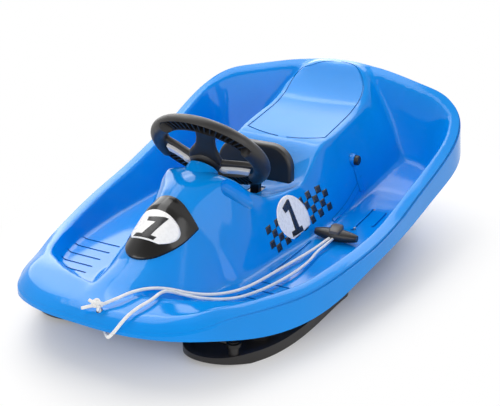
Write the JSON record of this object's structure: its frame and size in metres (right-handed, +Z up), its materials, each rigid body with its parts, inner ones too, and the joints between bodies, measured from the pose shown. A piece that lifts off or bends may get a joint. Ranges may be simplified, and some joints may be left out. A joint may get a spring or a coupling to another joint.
{
  "type": "steering sled",
  "caption": "Child's snow sled: moulded hull with saddle and footwells, wheel-steered front skis, rear runners, hand brake with claws, and a tow cord with grip.",
  "frame": {"origin": "on the ground under the middle of the sled's length and width", "axes": "+X to the rider's left, -Y forwards, +Z up"},
  "size_m": [0.6344, 0.9418, 0.3167],
  "materials": {
    "blue_shell": "semi-gloss moulded",
    "black_plastic": "satin moulded",
    "black_gloss": "smooth",
    "dark_plastic": "moulded",
    "dark_rubber": "matt",
    "steel": "zinc plated",
    "white_cord": "braided"
  },
  "bodies": {
    "sled": {"hull": "blue_shell", "visor_badge": "black_gloss", "column_bush": "dark_plastic", "column_bracket": "dark_plastic", "bracket_screws": "steel", "left_kingpin": "steel", "right_kingpin": "steel", "left_rear_runner": "black_plastic", "right_rear_runner": "black_plastic", "runner_screws": "steel", "brake_shaft": "steel", "left_brake_cap": "black_plastic", "right_brake_cap": "black_plastic", "tow_cord_upper": "white_cord", "tow_cord_lower": "white_cord", "tow_knot": "white_cord", "tow_grip": "black_plastic", "tow_grip_tab": "dark_rubber"},
    "steering": {"steering_wheel": "black_plastic", "wheel_cap": "black_gloss", "wheel_pin": "steel", "steering_column": "steel", "steering_crank": "steel"},
    "tie": {"tie_rod": "steel"},
    "left_front": {"left_ski": "black_plastic", "left_thrust_washer": "dark_plastic", "left_post_clip": "steel"},
    "right_front": {"right_ski": "black_plastic", "right_thrust_washer": "dark_plastic", "right_post_clip": "steel"},
    "brake": {"brake_lever": "steel", "left_brake_claw": "steel", "right_brake_claw": "steel", "claw_rivets": "steel", "brake_handle": "black_plastic"}
  },
  "joints": [
    {"name": "steer", "type": "hinge", "parent": "sled", "child": "steering", "pos_m": [0, -0.099, 0.235], "axis": [0, 0.7133, 0.7009], "range_deg": [-40, 40]},
    {"name": "tie_slide", "type": "slide", "parent": "sled", "child": "tie", "axis": [1, 0, 0], "range_m": [-0.0195, 0.0195]},
    {"name": "left_ski_turn", "type": "hinge", "parent": "sled", "child": "left_front", "pos_m": [0.181, -0.266, 0.036], "axis": [0, 0, 1], "range_deg": [-15.3, 15.3]},
    {"name": "right_ski_turn", "type": "hinge", "parent": "sled", "child": "right_front", "pos_m": [-0.181, -0.266, 0.036], "axis": [0, 0, 1], "range_deg": [-15.3, 15.3]},
    {"name": "brake_lift", "type": "hinge", "parent": "sled", "child": "brake", "pos_m": [0, 0.248, 0.136], "axis": [-1, 0, 0], "range_deg": [0, 16]}
  ],
  "couplings": [
    {"joint": "tie_slide", "follows": "steer", "m_per_rad": 0.027622},
    {"joint": "left_ski_turn", "follows": "steer", "ratio": 0.37763},
    {"joint": "right_ski_turn", "follows": "steer", "ratio": 0.37763}
  ]
}
